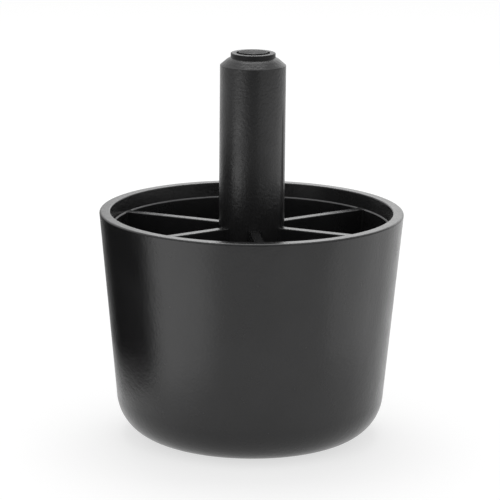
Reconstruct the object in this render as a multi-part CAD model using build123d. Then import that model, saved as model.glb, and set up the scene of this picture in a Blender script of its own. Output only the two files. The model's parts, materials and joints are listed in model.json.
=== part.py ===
from build123d import *
import math
import os

# Sizes are in millimetres and angles in degrees.

# Cup: a tapered shell that stands on its sole with the mouth up
rim_diameter = 93.0
cup_height = 70.0
wall_taper = 5.35
wall_thickness = 4.1
floor_thickness = 4.0
sole_rounding = 13.5

# Rim: a flat ring around the mouth, with a shallow recess inside it that ends on a ledge
rim_width = 3.3
rim_outer_bevel = 0.6
rim_inner_bevel = 0.3
recess_depth = 4.3
recess_draft = 10.0

# Ribs between the wall and the stem: their tops are level with the ledge
rib_count = 6
rib_thickness = 2.8
rib_draft = 0.5
first_rib_angle = -90.0

# Stem: the peg that is pushed up into the furniture frame
stem_diameter = 20.0
stem_reach = 47.2
stem_foot_draft = 0.5
end_chamfer_width = 2.65
end_chamfer_length = 2.25

# Nose: a low ring on the stem's end, around a trimmed gate that stands in a relief groove
nose_diameter = 13.6
nose_height = 1.5
nose_bevel = 0.3
gate_diameter = 8.8
gate_proud = 0.3
relief_width = 0.7
relief_depth = 1.0

# Flute: a groove in the stem above one rib, which runs out to a point on its way up
flute_radius = 1.25
flute_depth = 0.7
flute_length = 37.1
flute_rib = 1

# Heights above the sole and radii that follow from the sizes above
ledge_height = cup_height - recess_depth
shoulder_height = cup_height + stem_reach
nose_top = shoulder_height + nose_height
rim_radius = rim_diameter / 2
stem_radius = stem_diameter / 2
rib_spacing = 360.0 / rib_count

# Place of the turned section before the fluted rib, as a share of the rib spacing
seam_share = 0.25


def lean_in(drop, angle):
    """Sideways run of a surface that leans by an angle over a drop in height."""
    return drop * math.tan(math.radians(angle))


def wall_radius(height):
    """Radius of the outside of the cup's wall at a height above the sole."""
    return rim_radius - lean_in(cup_height - height, wall_taper)


def turned(corners):
    """Solid turned about Z from corners given as (radius, height, rounding).

    The section stands in the pocket before the fluted rib, so its seam is clear of the flute and the ribs.
    """
    points = [(radius, height) for radius, height, rounding in corners]
    roundings = [rounding for radius, height, rounding in corners]
    outline = FilletPolyline(*points, radius=roundings, close=True)
    section = Rot(0, 0, rib_angle(flute_rib - seam_share)) * (Plane.XZ * make_face(outline))
    return revolve(section, Axis.Z)


def uncored_foot():
    """Cup, recess, stem and nose as one turned solid, before the pockets are cored out."""
    rim_inner_radius = rim_radius - rim_width
    nose_radius = nose_diameter / 2
    gate_radius = gate_diameter / 2
    relief_floor = nose_top - relief_depth
    return turned([
        (0, 0, 0),
        (wall_radius(0), 0, sole_rounding),
        (wall_radius(cup_height - rim_outer_bevel), cup_height - rim_outer_bevel, 0),
        (rim_radius - rim_outer_bevel, cup_height, 0),
        (rim_inner_radius + rim_inner_bevel, cup_height, 0),
        (rim_inner_radius, cup_height - rim_inner_bevel, 0),
        (rim_inner_radius - lean_in(recess_depth, recess_draft), ledge_height, 0),
        (stem_radius, ledge_height, 0),
        (stem_radius, shoulder_height - end_chamfer_length, 0),
        (stem_radius - end_chamfer_width, shoulder_height, 0),
        (nose_radius, shoulder_height, 0),
        (nose_radius, nose_top - nose_bevel, 0),
        (nose_radius - nose_bevel, nose_top, 0),
        (gate_radius + relief_width, nose_top, 0),
        (gate_radius + relief_width, relief_floor, 0),
        (gate_radius, relief_floor, 0),
        (gate_radius, nose_top + gate_proud, 0),
        (0, nose_top + gate_proud, 0),
    ])


def flank(side):
    """Plane along a drafted rib flank, facing into a pocket centred on +X; side is 1 or -1."""
    half_angle = math.radians(rib_spacing / 2)
    draft = math.radians(rib_draft)
    across = Vector(math.sin(half_angle), -side * math.cos(half_angle), 0)
    facing = across * math.cos(draft) + Vector(0, 0, math.sin(draft))
    return Plane(across * (rib_thickness / 2) + Vector(0, 0, ledge_height), z_dir=facing)


def pocket():
    """Hollow between two ribs, centred on +X: a turned ring cut to a wedge with drafted flanks.

    A slope at the foot of the wall keeps the wall about even inside the rounding of the sole.
    """
    foot_slope = max(sole_rounding - wall_thickness, 0) * (2 - math.sqrt(2))
    slope_top = floor_thickness + foot_slope
    stem_foot_radius = stem_radius + lean_in(ledge_height - floor_thickness, stem_foot_draft)
    hollow = turned([
        (stem_radius, ledge_height, 0),
        (wall_radius(ledge_height) - wall_thickness, ledge_height, 0),
        (wall_radius(slope_top) - wall_thickness, slope_top, 0),
        (wall_radius(floor_thickness) - wall_thickness - foot_slope, floor_thickness, 0),
        (stem_foot_radius, floor_thickness, 0),
    ])
    for side in (1, -1):
        hollow = split(hollow, bisect_by=flank(side), keep=Keep.TOP)
    return hollow


def flute():
    """Round cutter on +X, cut off level with the ledge, that leaves the stem's surface at its upper end."""
    climb = Vector(flute_depth, 0, flute_length)
    start = Plane((stem_radius + flute_radius - flute_depth, 0, ledge_height), z_dir=climb)
    cutter = start * Cylinder(flute_radius, 2 * climb.length)
    return split(cutter, bisect_by=Plane.XY.offset(ledge_height), keep=Keep.TOP)


def rib_angle(number):
    """Angle of a rib about Z, counted from the first; a half number is the pocket after that rib."""
    return first_rib_angle + number * rib_spacing


core = pocket()
pockets = [Rot(0, 0, rib_angle(number + 0.5)) * core for number in range(rib_count)]
moulded_foot = uncored_foot() - pockets - Rot(0, 0, rib_angle(flute_rib)) * flute()

os.makedirs("parts", exist_ok=True)
export_step(moulded_foot, "parts/moulded_foot.step")
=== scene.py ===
"""Studio scene of a round sofa foot: one black plastic moulding, a ribbed cup with a push-in stem."""
import json
import logging
import math
from dataclasses import dataclass
from enum import Enum

import bmesh
import bpy
import numpy as np
from mathutils import Matrix, Vector
from mathutils.geometry import delaunay_2d_cdt


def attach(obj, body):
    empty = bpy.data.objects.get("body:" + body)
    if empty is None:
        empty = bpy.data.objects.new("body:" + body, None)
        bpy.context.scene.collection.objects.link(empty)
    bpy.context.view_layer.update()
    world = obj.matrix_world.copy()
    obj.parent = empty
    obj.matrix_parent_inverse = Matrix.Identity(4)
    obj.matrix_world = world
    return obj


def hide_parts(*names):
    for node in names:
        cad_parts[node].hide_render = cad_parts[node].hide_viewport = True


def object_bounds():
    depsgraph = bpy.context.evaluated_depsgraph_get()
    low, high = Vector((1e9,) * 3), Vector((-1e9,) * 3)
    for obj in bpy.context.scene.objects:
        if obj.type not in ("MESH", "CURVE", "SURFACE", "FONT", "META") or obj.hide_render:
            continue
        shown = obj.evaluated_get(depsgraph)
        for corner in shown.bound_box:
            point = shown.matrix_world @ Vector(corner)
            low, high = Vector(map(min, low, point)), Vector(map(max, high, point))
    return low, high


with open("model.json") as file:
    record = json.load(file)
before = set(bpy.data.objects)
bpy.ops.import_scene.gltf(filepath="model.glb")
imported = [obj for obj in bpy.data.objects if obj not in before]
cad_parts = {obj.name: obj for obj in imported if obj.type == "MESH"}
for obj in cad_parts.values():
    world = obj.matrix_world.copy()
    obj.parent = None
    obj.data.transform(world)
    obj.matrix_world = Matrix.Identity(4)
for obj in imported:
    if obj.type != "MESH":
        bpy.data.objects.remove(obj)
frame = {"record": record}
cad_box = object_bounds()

LOG = logging.getLogger("sofa_foot")
FOOT_NODE = "moulded_foot"
FOOT_BODY = "root"
MM = 0.001
# Degrees about the foot's axis: the side that the photograph shows, and the side behind it
FRONT_AZIMUTH = -5.5
BACK_AZIMUTH = FRONT_AZIMUTH + 180.0


def record_mount(name: str) -> dict:
    """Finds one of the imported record's mounts by its name."""
    return next(mount for mount in frame["record"]["mounts"] if mount["name"] == name)


def lean(drop: float, angle: float) -> float:
    """Gives the sideways run of a surface that leans from the upright by an angle in degrees."""
    return drop * math.tan(math.radians(angle))


def on_circle(radius: float, angles: np.ndarray) -> np.ndarray:
    """Places points on a circle about the foot's axis, as rows of x and y; the angles are in radians."""
    return radius * np.stack([np.cos(angles), np.sin(angles)], axis=-1)


def at_height(places: np.ndarray, height: float) -> np.ndarray:
    """Gives rows of x and y one height."""
    return np.column_stack([places, np.full(len(places), height)])


def points_between(start: np.ndarray, end: np.ndarray, pieces: int) -> np.ndarray:
    """Gives the points that divide a straight run into equal pieces, without its ends."""
    share = np.linspace(0.0, 1.0, pieces + 1)[1:-1, None]
    return start * (1 - share) + end * share


def spun(points: np.ndarray, angle: float) -> np.ndarray:
    """Turns points about the foot's axis.

    Args:
        points: Rows that begin with x and y.
        angle: The turn in radians.

    Returns:
        The turned rows, with anything after x and y kept.
    """
    turned = points.copy()
    turned[..., 0] = points[..., 0] * math.cos(angle) - points[..., 1] * math.sin(angle)
    turned[..., 1] = points[..., 0] * math.sin(angle) + points[..., 1] * math.cos(angle)
    return turned


def outward(azimuth: float, elevation: float) -> Vector:
    """Gives the direction from the foot to something that stands around it.

    Args:
        azimuth: Degrees about the foot's axis.
        elevation: Degrees above the floor.

    Returns:
        A direction of length 1.
    """
    turn = math.radians(azimuth)
    rise = math.radians(elevation)
    return Vector((math.sin(turn) * math.cos(rise), -math.cos(turn) * math.cos(rise), math.sin(rise)))


def put_in_scene(name: str, data: bpy.types.ID) -> bpy.types.Object:
    """Puts a mesh, a lamp or a lens in the scene.

    Args:
        name: The object's name.
        data: The mesh, lamp or lens.

    Returns:
        The object.
    """
    thing = bpy.data.objects.new(name, data)
    bpy.context.scene.collection.objects.link(thing)
    return thing


def flat_panel(
    name: str, corners: list[tuple[float, float, float]], material: bpy.types.Material
) -> bpy.types.Object:
    """Makes one of the studio's flat panels.

    Args:
        name: The panel's name.
        corners: Its four corners in metres, in order.
        material: Its material.

    Returns:
        The panel.
    """
    mesh = bpy.data.meshes.new(name)
    mesh.from_pydata(corners, [], [(0, 1, 2, 3)])
    mesh.materials.append(material)
    return put_in_scene(name, mesh)


def bare_material(name: str) -> bpy.types.Material:
    """Makes a material that has no shader yet.

    Args:
        name: The material's name.

    Returns:
        The material.
    """
    material = bpy.data.materials.new(name)
    material.use_nodes = True
    nodes = material.node_tree.nodes
    nodes.remove(nodes["Principled BSDF"])
    return material


def grey(level: float) -> tuple[float, float, float, float]:
    """Gives a neutral grey as a colour."""
    return (level, level, level, 1.0)


@dataclass(frozen=True)
class Corner:
    """One corner of a turned outline, with the radius that rounds it, in millimetres."""

    radius: float
    height: float
    rounding: float = 0.0

    def place(self) -> np.ndarray:
        """Gives the corner as a point of radius and height."""
        return np.array([self.radius, self.height])


@dataclass(frozen=True)
class TurnedOutline:
    """An outline of straight runs and rounded corners that is turned about the foot's axis."""

    corners: tuple[Corner, ...]
    arc_steps: int = 6
    longest_run: float = 5.0

    def corner_points(self, number: int) -> np.ndarray:
        """Samples one corner.

        Args:
            number: The corner's place in the outline.

        Returns:
            The corner itself, or the points of the arc that rounds it.
        """
        corner = self.corners[number]
        here = corner.place()
        if corner.rounding == 0.0:
            return here[None, :]
        before = self.corners[number - 1].place() - here
        after = self.corners[number + 1].place() - here
        before /= np.linalg.norm(before)
        after /= np.linalg.norm(after)
        opening = math.acos(float(np.clip(before @ after, -1.0, 1.0)))
        reach = corner.rounding / math.tan(opening / 2)
        middle = before + after
        centre = here + middle / np.linalg.norm(middle) * corner.rounding / math.sin(opening / 2)
        start = here + before * reach - centre
        end = here + after * reach - centre
        sweep = math.pi - opening
        steps = max(self.arc_steps, math.ceil(corner.rounding * sweep / self.longest_run * self.arc_steps))
        share = np.linspace(0.0, 1.0, steps + 1)[:, None]
        return centre + (np.sin((1 - share) * sweep) * start + np.sin(share * sweep) * end) / math.sin(sweep)

    def points(self) -> np.ndarray:
        """Samples the whole outline.

        Returns:
            Rows of radius and height, with long runs divided.
        """
        points = self.corner_points(0)
        for number in range(1, len(self.corners)):
            arc = self.corner_points(number)
            pieces = max(1, math.ceil(np.linalg.norm(arc[0] - points[-1]) / self.longest_run))
            points = np.concatenate([points, points_between(points[-1], arc[0], pieces), arc])
        return points


class Finish(Enum):
    """The moulding's surface textures, by place in the piece's list of materials."""

    SATIN = 0
    GRAINED = 1
    TRIMMED = 2
    # The pockets' edge along the wall: dull, with a lighter grey that is a painted highlight line.
    PARTED = 3
    DULLED = 4


class Skin:
    """Gathers the faces of one closed surface, in millimetres."""

    merge_distance: float = 0.001
    sharp_angle: float = math.radians(38.0)

    def __init__(self) -> None:
        """Starts with no faces."""
        self.points: list[np.ndarray] = []
        self.faces: list[tuple[int, ...]] = []
        self.finishes: list[int] = []
        self.count = 0

    def keep(self, faces: list[tuple[int, ...]], finishes: list[Finish]) -> None:
        """Adds faces; a list of textures that is shorter than theirs is gone through again and again."""
        self.faces.extend(faces)
        self.finishes.extend(finishes[k % len(finishes)].value for k in range(len(faces)))

    def take(self, points: np.ndarray) -> np.ndarray:
        """Adds points.

        Args:
            points: Points in an array of any shape, with x, y and z last.

        Returns:
            The points' numbers, in the array's shape.
        """
        flat = points.reshape(-1, 3)
        numbers = np.arange(self.count, self.count + len(flat))
        self.points.append(flat)
        self.count += len(flat)
        return numbers.reshape(points.shape[:-1])

    def add_grid(self, grid: np.ndarray, finishes: list[Finish]) -> None:
        """Adds a surface of four-sided faces whose columns go right round.

        Args:
            grid: Points as rows by columns by x, y and z.
            finishes: One texture for each column, or one for them all.
        """
        numbers = self.take(grid)
        beside = np.roll(numbers, -1, axis=1)
        quads = np.stack([numbers[:-1], beside[:-1], beside[1:], numbers[1:]], axis=-1)
        self.keep([tuple(quad) for quad in quads.reshape(-1, 4).tolist()], finishes)

    def add_polygon(self, loop: np.ndarray, finish: Finish) -> None:
        """Adds one flat face of a texture, with its corners as rows of x, y and z."""
        self.keep([tuple(self.take(loop).tolist())], [finish])

    def add_fan(self, loop: np.ndarray, tip: np.ndarray, finish: Finish) -> None:
        """Adds three-sided faces from a loop to one point.

        Args:
            loop: Points of the loop as rows of x, y and z.
            tip: The point that the faces share.
            finish: The faces' texture.
        """
        ring = self.take(loop).tolist()
        top = int(self.take(tip[None, :])[0])
        self.keep([(ring[k - 1], ring[k], top) for k in range(len(ring))], [finish])

    def add_triangles(self, points: np.ndarray, triangles: list[tuple[int, ...]], finish: Finish) -> None:
        """Adds three-sided faces of a texture, each given by three of the points' row numbers."""
        numbers = self.take(points)
        self.keep([tuple(int(numbers[k]) for k in triangle) for triangle in triangles], [finish])

    def to_object(self, name: str) -> bpy.types.Object:
        """Welds the faces into one closed mesh.

        Args:
            name: The name of the object.

        Returns:
            The object, in metres, with smooth shading and crisp edges.
        """
        mesh = bpy.data.meshes.new(name)
        mesh.from_pydata((np.concatenate(self.points) * MM).tolist(), [], self.faces)
        mesh.polygons.foreach_set("material_index", self.finishes)
        weld = bmesh.new()
        weld.from_mesh(mesh)
        bmesh.ops.remove_doubles(weld, verts=weld.verts, dist=self.merge_distance * MM)
        bmesh.ops.recalc_face_normals(weld, faces=weld.faces)
        open_edges = sum(not edge.is_manifold for edge in weld.edges)
        LOG.info("%s: %d faces, %d open edges", name, len(weld.faces), open_edges)
        weld.to_mesh(mesh)
        weld.free()
        mesh.shade_smooth()
        mesh.set_sharp_from_angle(angle=self.sharp_angle)
        piece = put_in_scene(name, mesh)
        evening = piece.modifiers.new("even_normals", "WEIGHTED_NORMAL")
        evening.keep_sharp = True
        return piece


@dataclass(frozen=True)
class Cup:
    """The tapered cup: its skin from the sole over the wall and the rim down to the ledge. Millimetres."""

    height: float
    rim_radius: float = 46.5
    taper: float = 5.35
    wall: float = 4.1
    floor: float = 4.0
    sole_rounding: float = 13.5
    rim_width: float = 3.3
    rim_outer_rounding: float = 0.62
    rim_inner_rounding: float = 0.4
    recess_depth: float = 4.3
    recess_draft: float = 10.0
    ledge_rounding: float = 0.05
    columns: int = 216

    @property
    def ledge(self) -> float:
        """Height of the ledge and of the ribs' tops."""
        return self.height - self.recess_depth

    def outside(self, height: float) -> float:
        """Gives the radius of the outside of the wall at a height above the sole."""
        return self.rim_radius - lean(self.height - height, self.taper)

    def outline(self) -> TurnedOutline:
        """Draws the section that is turned.

        Returns:
            The outline from the sole, over the wall and the rim, to the ledge.
        """
        mouth = self.rim_radius - self.rim_width
        ledge_edge = mouth - lean(self.recess_depth, self.recess_draft)
        return TurnedOutline((
            Corner(self.sole_rounding / 2, 0.0),
            Corner(self.outside(0.0), 0.0, self.sole_rounding),
            Corner(self.rim_radius, self.height, self.rim_outer_rounding),
            Corner(mouth, self.height, self.rim_inner_rounding),
            Corner(ledge_edge, self.ledge, self.ledge_rounding),
            Corner(ledge_edge - 2 * self.ledge_rounding, self.ledge),
        ))

    def add_to(self, skin: Skin) -> np.ndarray:
        """Turns the outline into faces.

        Args:
            skin: The surface that takes the faces.

        Returns:
            The loop where the skin meets the ledge, as rows of x and y.
        """
        outline = self.outline().points()[:-1]
        angles = np.linspace(0.0, 2 * math.pi, self.columns, endpoint=False)
        rings = [at_height(on_circle(radius, angles), height) for radius, height in outline]
        skin.add_grid(np.stack(rings), [Finish.SATIN])
        skin.add_fan(rings[0], np.zeros(3), Finish.SATIN)
        return rings[-1][:, :2]


@dataclass(frozen=True)
class RibSet:
    """The ribs between the wall and the stem, in millimetres and degrees."""

    count: int = 6
    thickness: float = 2.8
    draft: float = 0.5
    first_angle: float = -90.0

    @property
    def half_spacing(self) -> float:
        """Half the angle from one rib to the next, in radians."""
        return math.pi / self.count

    def angle(self, number: float) -> float:
        """Angle of a rib in radians; a half number is the pocket after that rib."""
        return math.radians(self.first_angle) + 2 * self.half_spacing * number


@dataclass(frozen=True)
class Level:
    """The sizes of a pocket's plan at one height, in millimetres."""

    wall: float
    stem: float
    rib_half: float
    wall_corner: float
    stem_corner: float


@dataclass(frozen=True)
class Pocket:
    """The hollow between two ribs, drawn about +X and turned to its place."""

    cup: Cup
    ribs: RibSet
    stem_radius: float
    stem_draft: float = 0.5
    wall_corner_rounding: float = 0.5
    stem_corner_rounding: float = 1.2
    mouth_rounding: float = 0.38
    rib_mouth_share: float = 0.75
    foot_rounding: float = 0.4
    slope_softness: float = 1.6
    wall_steps: int = 30
    corner_steps: int = 6
    flank_steps: int = 8
    stem_steps: int = 12
    mouth_steps: int = 4
    side_rows: int = 8
    slope_rows: int = 10
    foot_rows: int = 5

    @property
    def foot_slope(self) -> float:
        """Size of the slope at the wall's foot, which keeps the wall even inside the sole's rounding."""
        return (self.cup.sole_rounding - self.cup.wall) * (2 - math.sqrt(2))

    def level(self, height: float, inset: float = 0.0) -> Level:
        """Works out the plan at a height.

        Args:
            height: Height above the sole.
            inset: How far the sides have closed in, in the rounding at the floor.

        Returns:
            The plan's sizes.
        """
        depth = self.cup.ledge - height
        upright = self.cup.outside(height) - self.cup.wall
        climb = height - self.cup.floor - self.foot_slope
        eased = (climb - math.hypot(climb, self.slope_softness / 2)) / 2
        return Level(
            wall=upright + eased - inset,
            stem=self.stem_radius + lean(depth, self.stem_draft) + inset,
            rib_half=self.ribs.thickness / 2 + lean(depth, self.ribs.draft) + inset,
            wall_corner=self.wall_corner_rounding - inset,
            stem_corner=self.stem_corner_rounding - inset,
        )

    def corner_centre(self, rib_half: float, corner: float, distance: float) -> np.ndarray:
        """Finds the centre of an upright corner's arc beside the rib on the pocket's left.

        Args:
            rib_half: Half the rib's thickness.
            corner: The corner's rounding.
            distance: The centre's distance from the foot's axis.

        Returns:
            The centre as x and y.
        """
        aside = rib_half + corner
        along = math.sqrt(distance ** 2 - aside ** 2)
        half = self.ribs.half_spacing
        return np.array([
            along * math.cos(half) + aside * math.sin(half),
            along * math.sin(half) - aside * math.cos(half),
        ])

    def left_side(self, level: Level) -> tuple[np.ndarray, np.ndarray, np.ndarray]:
        """Draws the side beside the left rib, from the wall to the stem.

        Args:
            level: The plan's sizes.

        Returns:
            Points, directions into the plastic, and shares of the mouth's rounding.
        """
        facing = self.ribs.half_spacing + math.pi / 2
        outer = self.corner_centre(level.rib_half, level.wall_corner, level.wall - level.wall_corner)
        inner = self.corner_centre(level.rib_half, level.stem_corner, level.stem + level.stem_corner)
        outer_turn = np.linspace(math.atan2(outer[1], outer[0]), facing, self.corner_steps + 1)
        inner_end = math.atan2(inner[1], inner[0]) + math.pi
        inner_turn = np.linspace(facing, inner_end, self.corner_steps + 1)
        outer_arc = outer + on_circle(level.wall_corner, outer_turn)
        inner_arc = inner + on_circle(level.stem_corner, inner_turn)
        flank = points_between(outer_arc[-1], inner_arc[0], self.flank_steps)
        turns = np.concatenate([outer_turn, np.full(len(flank), facing), inner_turn])
        shares = self.rib_mouth_share * np.concatenate([
            np.linspace(1.0 / self.rib_mouth_share, 1.0, len(outer_arc)),
            np.ones(len(flank)),
            np.linspace(1.0, 0.0, len(inner_arc)) ** 2,
        ])
        return np.concatenate([outer_arc, flank, inner_arc]), on_circle(1.0, turns), shares

    def plan(self, level: Level) -> tuple[np.ndarray, np.ndarray, np.ndarray]:
        """Draws the whole plan, beginning and ending beside the stem.

        Args:
            level: The plan's sizes.

        Returns:
            Points, directions into the plastic, and shares of the mouth's rounding. The last
            columns are those on the stem.
        """
        left, left_out, left_share = self.left_side(level)
        mirror = np.array([1.0, -1.0])
        wall_end = math.atan2(left[0, 1], left[0, 0])
        stem_end = math.atan2(left[-1, 1], left[-1, 0])
        wall_turn = np.linspace(-wall_end, wall_end, self.wall_steps + 1)[1:-1]
        stem_turn = np.linspace(stem_end, -stem_end, self.stem_steps + 1)[1:-1]
        on_wall = on_circle(1.0, wall_turn)
        on_stem = on_circle(1.0, stem_turn)
        points = [left[::-1] * mirror, level.wall * on_wall, left, level.stem * on_stem]
        outs = [left_out[::-1] * mirror, on_wall, left_out, -on_stem]
        shares = [left_share[::-1], np.ones(len(wall_turn)), left_share, np.zeros(len(stem_turn))]
        return np.concatenate(points), np.concatenate(outs), np.concatenate(shares)

    def rows(self) -> np.ndarray:
        """Draws all the pocket's rows from the mouth to the floor.

        Returns:
            Points as rows by columns by x, y and z.
        """
        top = self.cup.ledge
        bottom = self.cup.floor + self.foot_rounding
        slope_top = self.cup.floor + self.foot_slope + self.slope_softness
        rows = []
        points, outs, shares = self.plan(self.level(top))
        rounding = self.mouth_rounding * shares
        for turn in np.linspace(0.0, math.pi / 2, self.mouth_steps + 1):
            edge = points + outs * (rounding * (1 - math.sin(turn)))[:, None]
            rows.append(np.column_stack([edge, top - rounding * (1 - math.cos(turn))]))
        side = np.linspace(top - 2 * self.mouth_rounding, slope_top, self.side_rows)
        slope = np.linspace(slope_top, bottom, self.slope_rows + 1)[1:]
        for height in np.concatenate([side, slope]):
            rows.append(at_height(self.plan(self.level(height))[0], height))
        for turn in np.linspace(0.0, math.pi / 2, self.foot_rows + 1)[1:]:
            height = bottom - self.foot_rounding * math.sin(turn)
            inset = self.foot_rounding * (1 - math.cos(turn))
            rows.append(at_height(self.plan(self.level(height, inset))[0], height))
        return np.stack(rows)

    def stem_reach(self) -> float:
        """Works out how much of the stem the pocket takes up at the ledge.

        Returns:
            Half the angle in radians.
        """
        level = self.level(self.cup.ledge)
        inner = self.corner_centre(level.rib_half, level.stem_corner, level.stem + level.stem_corner)
        return math.atan2(inner[1], inner[0])

    def add_to(self, skin: Skin, angle: float) -> np.ndarray:
        """Adds the pocket's sides and floor.

        Args:
            skin: The surface that takes the faces.
            angle: The pocket's place about the foot's axis, in radians.

        Returns:
            The mouth's edge from stem to stem, as rows of x and y.
        """
        rows = spun(self.rows(), angle)
        beside_stem = [Finish.GRAINED] * self.stem_steps
        beside_rib = [Finish.SATIN] * ((rows.shape[1] - self.stem_steps - self.wall_steps) // 2)
        # The mouth's columns along the wall take the edge finish, whose lighter grey is a painted highlight
        # line; the sides below keep the satin.
        mouth = beside_rib + [Finish.PARTED] * self.wall_steps + beside_rib + beside_stem
        sides = [Finish.SATIN if finish is Finish.PARTED else finish for finish in mouth]
        skin.add_grid(rows[:self.mouth_steps + 1], mouth)
        skin.add_grid(rows[self.mouth_steps:], sides)
        skin.add_polygon(rows[-1], Finish.SATIN)
        return rows[0, :rows.shape[1] - self.stem_steps + 1, :2]


@dataclass(frozen=True)
class Flute:
    """The groove in the stem above one rib, which runs out to a point on its way up. Millimetres."""

    start: float
    stem_radius: float
    radius: float = 1.25
    depth: float = 0.7
    length: float = 37.1
    fullness: float = 0.55
    lip_softness: float = 0.06
    least_half_angle: float = math.radians(0.6)
    margin: float = 1.22

    def axis_distance(self, height: np.ndarray) -> np.ndarray:
        """Distance of the groove's own centre line from the foot's axis at each height."""
        left_to_climb = np.clip(1.0 - (height - self.start) / self.length, 0.0, 1.0)
        return self.stem_radius + self.radius - self.depth * left_to_climb ** self.fullness

    def half_angle(self, height: np.ndarray) -> np.ndarray:
        """Works out half the angle that the groove takes up on the stem.

        Args:
            height: Heights above the sole.

        Returns:
            The angles in radians, with a little room for the lips.
        """
        away = self.axis_distance(height)
        cosine = (self.stem_radius ** 2 + away ** 2 - self.radius ** 2) / (2 * self.stem_radius * away)
        return np.maximum(np.arccos(np.clip(cosine, -1.0, 1.0)) * self.margin, self.least_half_angle)

    def surface(self, turn: np.ndarray, height: np.ndarray) -> np.ndarray:
        """Works out the stem's radius with the groove in it.

        Args:
            turn: Angles from the middle of the groove, in radians.
            height: Heights above the sole.

        Returns:
            The radii, with softened lips.
        """
        away = self.axis_distance(height)
        inside = self.radius ** 2 - (away * np.sin(turn)) ** 2
        cut = away * np.cos(turn) - np.sqrt(np.maximum(inside, 0.0))
        share = np.clip(0.5 + 0.5 * (self.stem_radius - cut) / self.lip_softness, 0.0, 1.0)
        blended = self.stem_radius * (1 - share) + cut * share - self.lip_softness * share * (1 - share)
        return np.where(inside > 0.0, np.minimum(blended, self.stem_radius), self.stem_radius)


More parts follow.
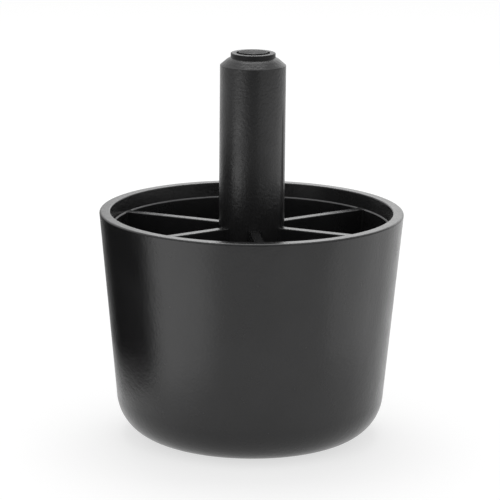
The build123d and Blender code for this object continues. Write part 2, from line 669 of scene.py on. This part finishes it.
@dataclass(frozen=True)
class Stem:
    """The push-in stem above the ribs: chamfered end, nose ring, relief groove and gate. Millimetres."""

    cup: Cup
    ribs: RibSet
    pocket: Pocket
    radius: float
    top: float
    flute_rib: int = 1
    gate_proud: float = 0.3
    nose_height: float = 1.5
    nose_radius: float = 6.8
    gate_radius: float = 4.4
    relief_width: float = 0.7
    relief_depth: float = 1.0
    chamfer_width: float = 2.65
    chamfer_length: float = 2.25
    edge_rounding: float = 0.25
    fine_rounding: float = 0.12
    foot_rounding: float = 0.03
    foot_rise: float = 0.1
    shoulder_lean: float = 24.0
    shoulder_rounding: float = 5.0
    rib_steps: int = 10
    flute_steps: int = 28
    lip_steps: int = 6
    flute_rows: int = 34
    arc_steps: int = 5

    def flute(self) -> Flute:
        """Gives the groove that starts on the ribs' tops."""
        return Flute(start=self.cup.ledge, stem_radius=self.radius)

    def outline(self) -> TurnedOutline:
        """Draws the section that is turned.

        Returns:
            The outline from above the flute to the gate.
        """
        nose_top = self.top - self.gate_proud
        shoulder = nose_top - self.nose_height
        relief_floor = nose_top - self.relief_depth
        relief_radius = self.gate_radius + self.relief_width
        crest_radius, crest_drop = self.shoulder_crest()
        flute = self.flute()
        return TurnedOutline((
            Corner(self.radius, flute.start + flute.length + self.edge_rounding),
            Corner(self.radius, shoulder - self.chamfer_length, self.edge_rounding),
            Corner(crest_radius, shoulder - crest_drop, self.shoulder_rounding),
            Corner(self.nose_radius, shoulder + self.foot_rise, self.foot_rounding),
            Corner(self.nose_radius, nose_top, self.edge_rounding),
            Corner(relief_radius, nose_top, self.fine_rounding),
            Corner(relief_radius, relief_floor, self.fine_rounding),
            Corner(self.gate_radius, relief_floor, self.fine_rounding),
            Corner(self.gate_radius, self.top, self.edge_rounding),
            Corner(self.gate_radius / 2, self.top),
        ), arc_steps=self.arc_steps)

    def shoulder_crest(self) -> tuple[float, float]:
        """Finds where the shoulder, which falls away from the nose's foot, meets the chamfer.

        Returns:
            The radius there, and how far it lies below the solid's shoulder.
        """
        lean_slope = lean(1.0, self.shoulder_lean)
        chamfer_slope = self.chamfer_length / self.chamfer_width
        chamfer_start = self.radius - self.chamfer_width
        between = chamfer_slope * chamfer_start - lean_slope * self.nose_radius - self.foot_rise
        crest = between / (chamfer_slope - lean_slope)
        return crest, chamfer_slope * (crest - chamfer_start)

    def fluted_turns(self, height: np.ndarray, half: float) -> np.ndarray:
        """Spreads columns across the fluted rib so that they follow the groove's lips.

        Args:
            height: Heights of the rows, as a column.
            half: Half the angle that the rib takes up on the stem, in radians.

        Returns:
            Angles from the rib's middle as rows by columns.
        """
        edge = self.flute().half_angle(height)
        across = np.sin(np.linspace(-1.0, 1.0, self.flute_steps + 1) * math.pi / 2)
        beside = np.linspace(0.0, 1.0, self.lip_steps + 1)[1:]
        right = edge + (half - edge) * beside
        return np.concatenate([-right[:, ::-1], edge * across, right], axis=1)

    def add_to(self, skin: Skin) -> list[np.ndarray]:
        """Adds the stem.

        Args:
            skin: The surface that takes the faces.

        Returns:
            For each rib, the edge of the stem on the rib's top, as rows of x and y.
        """
        flute = self.flute()
        outline = self.outline().points()
        low = np.linspace(flute.start, outline[0, 1], self.flute_rows)[:-1]
        heights = np.concatenate([low, outline[:, 1]])[:, None]
        radii = np.concatenate([np.full(len(low), self.radius), outline[:, 0]])[:, None]
        taken = self.pocket.stem_reach()
        half = self.ribs.half_spacing - taken
        over_rib = np.linspace(-half, half, self.rib_steps + 1)
        over_pocket = np.linspace(-taken, taken, self.pocket.stem_steps + 1)[1:-1]
        blocks = []
        feet = []
        for number in range(self.ribs.count):
            turns = over_rib
            rib_radii = radii
            if number == self.flute_rib:
                turns = self.fluted_turns(heights, half)
                rib_radii = np.minimum(radii, flute.surface(turns, heights))
            rib = self.ring_points(rib_radii, turns + self.ribs.angle(number), heights)
            feet.append(rib[0, :, :2])
            pocket_turns = over_pocket + self.ribs.angle(number + 0.5)
            blocks.extend([rib, self.ring_points(radii, pocket_turns, heights)])
        grid = np.concatenate(blocks, axis=1)
        nose_row = int(np.argmax(radii <= self.nose_radius + self.foot_rounding))
        skin.add_grid(grid[:nose_row + 1], [Finish.GRAINED])
        skin.add_grid(grid[nose_row:-1], [Finish.DULLED])
        skin.add_grid(grid[-2:], [Finish.TRIMMED])
        skin.add_fan(grid[-1], np.array([0.0, 0.0, self.top]), Finish.TRIMMED)
        return feet

    def ring_points(self, radii: np.ndarray, turns: np.ndarray, heights: np.ndarray) -> np.ndarray:
        """Places points by radius, angle in radians and height, as rows by columns by x, y and z."""
        spread = np.broadcast_arrays(radii * np.cos(turns), radii * np.sin(turns), heights)
        return np.stack(spread, axis=-1)


@dataclass(frozen=True)
class RibTops:
    """The one flat face of the ledge and the ribs' tops, between the recess and the stem."""

    height: float
    tolerance: float = 1e-5

    def inside(self, places: np.ndarray, loop: np.ndarray) -> np.ndarray:
        """Tells which places lie inside a loop.

        Args:
            places: Rows of x and y.
            loop: The loop's corners as rows of x and y.

        Returns:
            True for each place inside.
        """
        ahead = np.roll(loop, -1, axis=0)
        crosses = (loop[:, 1] > places[:, 1:2]) != (ahead[:, 1] > places[:, 1:2])
        rise = np.where(ahead[:, 1] == loop[:, 1], 1.0, ahead[:, 1] - loop[:, 1])
        reach = (ahead[:, 0] - loop[:, 0]) * (places[:, 1:2] - loop[:, 1]) / rise + loop[:, 0]
        return (crosses & (places[:, 0:1] < reach)).sum(axis=1) % 2 == 1

    def add_to(self, skin: Skin, outer: np.ndarray, inner: np.ndarray) -> None:
        """Fills the face with triangles.

        Args:
            skin: The surface that takes the faces.
            outer: The loop at the recess, as rows of x and y.
            inner: The loop round the pockets and the stem, as rows of x and y.
        """
        rings = [np.arange(len(outer)), np.arange(len(inner)) + len(outer)]
        edges = [(int(a), int(b)) for ring in rings for a, b in zip(ring, np.roll(ring, -1))]
        places = [Vector(place) for place in np.concatenate([outer, inner])]
        found = delaunay_2d_cdt(places, edges, [], 0, self.tolerance)
        points = np.array([[place.x, place.y] for place in found[0]])
        triangles = np.array(found[2])
        middles = points[triangles].mean(axis=1)
        kept = triangles[self.inside(middles, outer) & ~self.inside(middles, inner)]
        lifted = at_height(points, self.height)
        skin.add_triangles(lifted, kept.tolist(), Finish.SATIN)


@dataclass(frozen=True)
class NodeBoard:
    """The nodes of one material or of the room."""

    tree: bpy.types.NodeTree

    def feed(self, value: object, place: bpy.types.NodeSocket) -> None:
        """Fills one input.

        Args:
            value: Another node's output, or a plain value.
            place: The input.
        """
        if isinstance(value, bpy.types.NodeSocket):
            self.tree.links.new(value, place)
        else:
            place.default_value = value

    def add(self, kind: str, inputs: dict[str | int, object], **choices: str) -> bpy.types.Node:
        """Adds a node.

        Args:
            kind: The node's kind, in Blender's word for it.
            inputs: Outputs or plain values, by the name or the number of the input that they fill.
            choices: The node's own settings.

        Returns:
            The node.
        """
        node = self.tree.nodes.new("ShaderNode" + kind)
        for name, choice in choices.items():
            setattr(node, name, choice)
        for name, value in inputs.items():
            self.feed(value, node.inputs[name])
        return node

    def noise(self, place: bpy.types.NodeSocket, size: float, detail: float) -> bpy.types.NodeSocket:
        """Adds a noise pattern with features of a size in metres and a number of finer layers."""
        return self.add("TexNoise", {"Vector": place, "Scale": 1.0 / size, "Detail": detail}).outputs["Fac"]

    def show(self, surface: bpy.types.NodeSocket) -> None:
        """Makes a shader the material's surface."""
        self.feed(surface, self.tree.nodes["Material Output"].inputs["Surface"])


@dataclass(frozen=True)
class BlackPlastic:
    """Black moulded plastic; each finish sets its own gloss and grain. Lengths are in metres."""

    name: str
    smooth: float
    rough: float
    grain_size: float
    grain_height: float
    grain_strength: float
    grain_detail: float = 3.0
    dark: tuple[float, float, float] = (0.0120, 0.0120, 0.0124)
    light: tuple[float, float, float] = (0.0180, 0.0180, 0.0186)
    ior: float = 1.47
    gloss: float = 0.5
    flow_size: float = 0.011
    flow_height: float = 0.00006
    flow_strength: float = 0.12
    flow_detail: float = 1.0
    cloud_size: float = 0.02
    cloud_detail: float = 4.0
    cloud_start: float = 0.3
    cloud_end: float = 0.7
    haze_size: float = 0.02 / 3
    haze_detail: float = 3.0
    haze_start: float = 0.25
    haze_end: float = 0.75
    rub_size: float = 0.0022
    rub_detail: float = 2.0
    rub_stretch: float = 7.0
    rub_start: float = 0.66
    rub_end: float = 0.80
    rub_roughness: float = 0.012

    def build(self) -> bpy.types.Material:
        """Builds the material.

        Returns:
            The material, which any number of pieces can share.
        """
        material = bpy.data.materials.new(self.name)
        material.use_nodes = True
        nodes = NodeBoard(material.node_tree)
        shader = nodes.tree.nodes["Principled BSDF"]
        shader.inputs["IOR"].default_value = self.ior
        shader.inputs["Specular IOR Level"].default_value = self.gloss
        place = nodes.add("TexCoord", {}).outputs["Object"]
        nodes.feed(self.colour(nodes, place), shader.inputs["Base Color"])
        nodes.feed(self.roughness(nodes, place), shader.inputs["Roughness"])
        nodes.feed(self.relief(nodes, place), shader.inputs["Normal"])
        return material

    def colour(self, nodes: NodeBoard, place: bpy.types.NodeSocket) -> bpy.types.NodeSocket:
        """Gives the black a faint cloudiness.

        Args:
            nodes: The material's nodes.
            place: Coordinates in metres.

        Returns:
            The colour.
        """
        ramp = nodes.add("ValToRGB", {"Fac": nodes.noise(place, self.cloud_size, self.cloud_detail)})
        stops = [(self.cloud_start, self.dark), (self.cloud_end, self.light)]
        for stop, (position, black) in zip(ramp.color_ramp.elements, stops):
            stop.position = position
            stop.color = (*black, 1.0)
        return ramp.outputs["Color"]

    def roughness(self, nodes: NodeBoard, place: bpy.types.NodeSocket) -> bpy.types.NodeSocket:
        """Varies the gloss, with faint upright rub marks.

        Args:
            nodes: The material's nodes.
            place: Coordinates in metres.

        Returns:
            The roughness.
        """
        haze = nodes.add("MapRange", {
            "Value": nodes.noise(place, self.haze_size, self.haze_detail),
            "From Min": self.haze_start,
            "From Max": self.haze_end,
            "To Min": self.smooth,
            "To Max": self.rough,
        })
        stretch = nodes.add("Mapping", {"Vector": place, "Scale": (1.0, 1.0, 1.0 / self.rub_stretch)})
        marks = nodes.add("MapRange", {
            "Value": nodes.noise(stretch.outputs["Vector"], self.rub_size, self.rub_detail),
            "From Min": self.rub_start,
            "From Max": self.rub_end,
            "To Max": self.rub_roughness,
        })
        both = {0: haze.outputs["Result"], 1: marks.outputs["Result"]}
        return nodes.add("Math", both, operation="ADD").outputs["Value"]

    def relief(self, nodes: NodeBoard, place: bpy.types.NodeSocket) -> bpy.types.NodeSocket:
        """Gives the surface its fine grain and the slight unevenness of a moulding.

        Args:
            nodes: The material's nodes.
            place: Coordinates in metres.

        Returns:
            The surface's directions.
        """
        uneven = nodes.add("Bump", {
            "Height": nodes.noise(place, self.flow_size, self.flow_detail),
            "Strength": self.flow_strength,
            "Distance": self.flow_height,
        })
        fine = nodes.add("Bump", {
            "Height": nodes.noise(place, self.grain_size, self.grain_detail),
            "Strength": self.grain_strength,
            "Distance": self.grain_height,
            "Normal": uneven.outputs["Normal"],
        })
        return fine.outputs["Normal"]


@dataclass(frozen=True)
class SatinCupPlastic(BlackPlastic):
    """The cup, its ribs and its rim: satin, slightly uneven, with a fine grain."""

    name: str = "satin_black_plastic"
    smooth: float = 0.20
    rough: float = 0.28
    grain_size: float = 0.0009
    grain_height: float = 0.00011
    grain_strength: float = 0.6
    flow_size: float = 0.007
    flow_height: float = 0.00015
    flow_strength: float = 0.6


@dataclass(frozen=True)
class GrainedStemPlastic(BlackPlastic):
    """The stem and its chamfer: duller than the cup, with a grain that can be seen."""

    name: str = "grained_black_plastic"
    smooth: float = 0.28
    rough: float = 0.38
    grain_size: float = 0.0009
    grain_height: float = 0.00012
    grain_strength: float = 0.8


@dataclass(frozen=True)
class TrimmedGatePlastic(BlackPlastic):
    """The end of the gate, cut off after moulding: the dullest."""

    name: str = "trimmed_black_plastic"
    gloss: float = 0.3
    smooth: float = 0.62
    rough: float = 0.75
    grain_size: float = 0.0005
    grain_height: float = 0.00003
    grain_strength: float = 0.6


@dataclass(frozen=True)
class DulledNosePlastic(BlackPlastic):
    """The nose ring on the stem's end: duller than the stem."""

    name: str = "dulled_black_plastic"
    gloss: float = 0.23
    smooth: float = 0.34
    rough: float = 0.44
    grain_size: float = 0.0007
    grain_height: float = 0.00005
    grain_strength: float = 0.6


@dataclass(frozen=True)
class PaintedHighlightEdgePlastic(BlackPlastic):
    """The pockets' edge along the wall, where the core parted from the recess: dull, painted lighter as a
    highlight line.
    """

    name: str = "painted_highlight_black_plastic"
    smooth: float = 0.35
    rough: float = 0.45
    grain_size: float = 0.0005
    grain_height: float = 0.00003
    grain_strength: float = 0.5
    # These lighter greys are a painted highlight: they stand in for the bright line that the overhead light
    # makes along the ledge.
    dark: tuple[float, float, float] = (0.10, 0.10, 0.102)
    light: tuple[float, float, float] = (0.16, 0.16, 0.163)


@dataclass
class SofaFoot:
    """The whole foot: one closed moulding of cup, pockets, ribs and stem."""

    piece_name: str = "foot_moulding"

    def build(self) -> bpy.types.Object:
        """Builds the moulding, dresses it and puts it in the place of the solid.

        Returns:
            The finished piece.
        """
        stem_mount = record_mount("stem")
        cup = Cup(height=stem_mount["pos_m"][2] / MM)
        ribs = RibSet()
        radius = stem_mount["dims"]["r_mm"]
        pocket = Pocket(cup=cup, ribs=ribs, stem_radius=radius)
        stem = Stem(cup=cup, ribs=ribs, pocket=pocket, radius=radius, top=cad_box[1][2] / MM)
        skin = Skin()
        recess_loop = cup.add_to(skin)
        rib_feet = stem.add_to(skin)
        inner = []
        for number in range(ribs.count):
            mouth = pocket.add_to(skin, ribs.angle(number + 0.5))
            inner.extend([rib_feet[number], mouth[1:-1]])
        RibTops(height=cup.ledge).add_to(skin, recess_loop, np.concatenate(inner))
        piece = skin.to_object(self.piece_name)
        textures = {
            Finish.SATIN: SatinCupPlastic(),
            Finish.GRAINED: GrainedStemPlastic(),
            Finish.TRIMMED: TrimmedGatePlastic(),
            # The pockets' edge along the wall: its lighter grey is a painted highlight line.
            Finish.PARTED: PaintedHighlightEdgePlastic(),
            Finish.DULLED: DulledNosePlastic(),
        }
        for finish in Finish:
            piece.data.materials.append(textures[finish].build())
        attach(piece, FOOT_BODY)
        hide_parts(FOOT_NODE)
        return piece


class CardShade(Enum):
    """Shades of the cards that stand around the foot, out of the camera's sight; the room's own is 1."""

    BLACK = 0.0
    DIM = 0.1
    DARK = 0.3
    WHITE = 1.4
    BRIGHT = 1.7
    GLOWING = 2.6
    LAMP = 9.0


@dataclass(frozen=True)
class Card:
    """An upright card with soft edges that only the plastic's gloss shows. Metres and degrees."""

    name: str
    shade: CardShade
    azimuth: float
    distance: float
    left: float
    right: float
    bottom: float
    top: float
    left_fade: float = 0.006
    right_fade: float = 0.006
    bottom_fade: float = 0.002
    top_fade: float = 0.006
    bottom_slope: float = 0.0

    def build(self) -> bpy.types.Object:
        """Stands the card up, facing the foot.

        Returns:
            The card.
        """
        corners = [
            (self.left, 0.0, self.bottom),
            (self.right, 0.0, self.bottom),
            (self.right, 0.0, self.top),
            (self.left, 0.0, self.top),
        ]
        card = flat_panel(self.name, corners, self.soft_edged())
        place = Matrix.Translation((0.0, -self.distance, 0.0))
        card.matrix_world = Matrix.Rotation(math.radians(self.azimuth), 4, "Z") @ place
        card.visible_camera = False
        card.visible_diffuse = False
        card.visible_shadow = False
        return card

    def soft_edged(self) -> bpy.types.Material:
        """Builds the card's shade, which thins out to nothing at the edges.

        Returns:
            The card's material.
        """
        material = bare_material(self.name)
        nodes = NodeBoard(material.node_tree)
        spot = nodes.add("SeparateXYZ", {"Vector": nodes.add("TexCoord", {}).outputs["Object"]})
        across = spot.outputs["X"]
        height = spot.outputs["Z"]
        sloped = nodes.add("Math", {0: across, 1: self.bottom_slope, 2: height}, operation="MULTIPLY_ADD")
        fades = [
            (across, self.left, self.left + self.left_fade),
            (across, self.right, self.right - self.right_fade),
            (sloped.outputs["Value"], self.bottom, self.bottom + self.bottom_fade),
            (height, self.top, self.top - self.top_fade),
        ]
        clear = nodes.add("BsdfTransparent", {}).outputs["BSDF"]
        surface = nodes.add("Emission", {"Strength": self.shade.value}).outputs["Emission"]
        for distance, edge, full in fades:
            limits = {"Value": distance, "From Min": edge, "From Max": full}
            ramp = nodes.add("MapRange", limits, interpolation_type="SMOOTHSTEP")
            thinned = nodes.add("MixShader", {"Fac": ramp.outputs["Result"], 1: clear, 2: surface})
            surface = thinned.outputs["Shader"]
        nodes.show(surface)
        return material


@dataclass(frozen=True)
class SoftBox:
    """The soft lamp above the foot, which looks at it. Metres, degrees and watts."""

    name: str = "overhead_softbox"
    azimuth: float = BACK_AZIMUTH
    elevation: float = 70.0
    distance: float = 1.0
    size: float = 0.6
    power: float = 3.4

    def build(self, target: Vector) -> bpy.types.Object:
        """Hangs the lamp.

        Args:
            target: The point that the lamp looks at.

        Returns:
            The lamp.
        """
        lamp = bpy.data.lights.new(self.name, "AREA")
        lamp.shape = "SQUARE"
        lamp.size = self.size
        lamp.energy = self.power
        box = put_in_scene(self.name, lamp)
        away = outward(self.azimuth, self.elevation)
        box.location = target + away * self.distance
        box.rotation_euler = away.to_track_quat("Z", "Y").to_euler()
        return box


@dataclass(frozen=True)
class Studio:
    """The white floor, the even light of a white room, the soft box and the cards. Metres and degrees."""

    floor_half: float = 4.0
    floor_gap: float = 0.00005
    floor_white: float = 0.8
    floor_seen: float = 0.45
    floor_glow: float = 0.66
    room_light: float = 0.6
    left_azimuth: float = -66.8
    right_azimuth: float = 69.5
    dark_distance: float = 0.6
    dark_bottom: float = 0.075
    dark_top: float = 0.34
    dark_bottom_fade: float = 0.01
    dark_top_fade: float = 0.08

    def add_sight(self, nodes: NodeBoard) -> bpy.types.NodeSocket:
        """Adds nodes that tell a seen or mirrored ray from a lighting one.

        Args:
            nodes: The nodes of the floor or the room.

        Returns:
            A value of 1 for what the camera, gloss or glass shows, and 0 for light that is passed on.
        """
        rays = nodes.add("LightPath", {}).outputs
        sight = rays["Is Camera Ray"]
        for kind in ("Is Glossy Ray", "Is Transmission Ray"):
            sight = nodes.add("Math", {0: sight, 1: rays[kind]}, operation="MAXIMUM").outputs["Value"]
        return sight

    def white_floor(self) -> bpy.types.Material:
        """Builds the floor's matt white, which looks white where it is seen and keeps its shadows.

        Returns:
            The floor's material.
        """
        material = bare_material("white_floor")
        nodes = NodeBoard(material.node_tree)
        matt = nodes.add("BsdfDiffuse", {"Color": grey(self.floor_white)})
        seen = nodes.add("BsdfDiffuse", {"Color": grey(self.floor_seen)})
        glow = nodes.add("Emission", {"Strength": self.floor_glow})
        bright = nodes.add("AddShader", {0: seen.outputs["BSDF"], 1: glow.outputs["Emission"]})
        either = nodes.add("MixShader", {
            "Fac": self.add_sight(nodes),
            1: matt.outputs["BSDF"],
            2: bright.outputs["Shader"],
        })
        nodes.show(either.outputs["Shader"])
        return material

    def build_floor(self) -> bpy.types.Object:
        """Lays the floor.

        Returns:
            The floor.
        """
        half = self.floor_half
        corners = [(-half, -half, 0.0), (half, -half, 0.0), (half, half, 0.0), (-half, half, 0.0)]
        floor = flat_panel("studio_floor", corners, self.white_floor())
        floor.location.z = -self.floor_gap
        return floor

    def fill_room(self) -> None:
        """Fills the room with even light; the camera and the plastic's gloss see plain white."""
        world = bpy.data.worlds.new("white_room")
        bpy.context.scene.world = world
        world.use_nodes = True
        nodes = NodeBoard(world.node_tree)
        background = nodes.tree.nodes["Background"]
        background.inputs["Color"].default_value = grey(1.0)
        levels = {"Value": self.add_sight(nodes), "To Min": self.room_light, "To Max": 1.0}
        strength = nodes.add("MapRange", levels).outputs["Result"]
        nodes.feed(strength, background.inputs["Strength"])

    def shaping_cards(self) -> list[Card]:
        """Lists the flags and reflectors that shape the gloss on the wall, the rim and the stem's end.

        Returns:
            The cards.
        """
        return [
            Card("left_back_flag", CardShade.BLACK, -121.6, 0.066, left=-0.036, right=0.092,
                 bottom=-0.005, top=0.095, left_fade=0.054, right_fade=0.034,
                 bottom_fade=0.026, top_fade=0.033, bottom_slope=0.15),
            Card("front_flag", CardShade.DARK, FRONT_AZIMUTH, 0.27, left=-0.13, right=0.13,
                 bottom=0.0, top=0.13, left_fade=0.04, right_fade=0.04, top_fade=0.03),
            Card("left_low_reflector", CardShade.BRIGHT, self.left_azimuth, 0.075, left=-0.005, right=0.075,
                 bottom=0.0, top=0.066, left_fade=0.02, right_fade=0.035, bottom_fade=0.012),
            Card("left_high_reflector", CardShade.GLOWING, self.left_azimuth, 0.15, left=-0.035, right=0.1,
                 bottom=0.03, top=0.082, left_fade=0.045, right_fade=0.06, top_fade=0.01),
            Card("right_low_reflector", CardShade.WHITE, self.right_azimuth, 0.105, left=-0.045, right=0.045,
                 bottom=0.0, top=0.065),
            Card("right_high_reflector", CardShade.WHITE, self.right_azimuth, 0.15, left=-0.08, right=0.16,
                 bottom=0.03, top=0.085, left_fade=0.05, right_fade=0.05, top_fade=0.01),
            Card("back_reflector", CardShade.BRIGHT, BACK_AZIMUTH, 0.6, left=-0.6, right=0.085,
                 bottom=0.15, top=0.7, right_fade=0.045, bottom_fade=0.03, top_fade=0.1),
            Card("back_lamp", CardShade.LAMP, BACK_AZIMUTH, 0.58, left=-0.08, right=0.08,
                 bottom=0.44, top=0.8, left_fade=0.03, right_fade=0.03, bottom_fade=0.03, top_fade=0.03),
        ]

    def dark_cards(self) -> list[Card]:
        """Lists the wide dim cards that keep the inside of the recess dark.

        Returns:
            The cards.
        """
        places = [
            ("front_dark", FRONT_AZIMUTH, 0.9, 0.1, 0.1),
            ("left_dark", -95.0, 0.5, 0.2, 0.1),
            ("right_dark", 84.0, 0.5, 0.1, 0.2),
        ]
        return [
            Card(name, CardShade.DIM, azimuth, self.dark_distance, left=-half, right=half,
                 bottom=self.dark_bottom, top=self.dark_top, left_fade=left_fade, right_fade=right_fade,
                 bottom_fade=self.dark_bottom_fade, top_fade=self.dark_top_fade)
            for name, azimuth, half, left_fade, right_fade in places
        ]

    def build(self, target: Vector) -> list[bpy.types.Object]:
        """Sets the studio up.

        Args:
            target: The point that the soft box looks at.

        Returns:
            The floor, the soft box and the cards.
        """
        self.fill_room()
        built = [self.build_floor(), SoftBox().build(target)]
        built.extend(card.build() for card in self.shaping_cards() + self.dark_cards())
        return built


@dataclass(frozen=True)
class PhotoCamera:
    """The camera at the photograph's angle. Millimetres, degrees and pixels; the roll is in radians."""

    target_height: float
    distance: float = 883.5
    azimuth: float = FRONT_AZIMUTH
    elevation: float = 12.233
    roll: float = 0.00983
    focal: float = 2893.0
    image_size: float = 500.0
    target_x: float = 251.62
    target_y: float = 210.45
    sensor: float = 36.0

    def axes(self) -> Matrix:
        """Works out the camera's turn.

        Returns:
            The turn, with the camera's right, up and back as columns.
        """
        turn = math.radians(self.azimuth)
        rise = math.radians(self.elevation)
        look = Matrix.Rotation(turn, 3, "Z") @ Matrix.Rotation(math.pi / 2 - rise, 3, "X")
        off_x = self.target_x - self.image_size / 2
        off_y = self.target_y - self.image_size / 2
        pan = math.atan2(off_x, self.focal)
        tilt = math.atan2(off_y, math.hypot(self.focal, off_x))
        aim = Matrix.Rotation(tilt, 3, "X") @ Matrix.Rotation(pan, 3, "Y")
        return look @ Matrix.Rotation(self.roll, 3, "Z") @ aim

    def build(self) -> bpy.types.Object:
        """Puts the camera up and makes it the scene's own.

        Returns:
            The camera.
        """
        lens = bpy.data.cameras.new("photo_camera")
        lens.sensor_width = self.sensor
        lens.lens = self.focal * self.sensor / self.image_size
        camera = put_in_scene("photo_camera", lens)
        away = outward(self.azimuth, self.elevation)
        place = (Vector((0.0, 0.0, self.target_height)) + away * self.distance) * MM
        camera.matrix_world = Matrix.Translation(place) @ self.axes().to_4x4()
        bpy.context.scene.camera = camera
        return camera


def main() -> None:
    """Builds the foot, the studio and the camera."""
    logging.basicConfig(level=logging.INFO, format="%(name)s: %(message)s")
    foot = SofaFoot().build()
    LOG.info("built %s", foot.name)
    rim_height = record_mount("rim")["pos_m"][2]
    for thing in Studio().build(Vector((0.0, 0.0, rim_height))):
        LOG.info("set up %s", thing.name)
    camera = PhotoCamera(target_height=rim_height / MM).build()
    LOG.info("set up %s", camera.name)
    bpy.context.scene.view_settings.view_transform = "Standard"


if __name__ == "__main__":
    main()
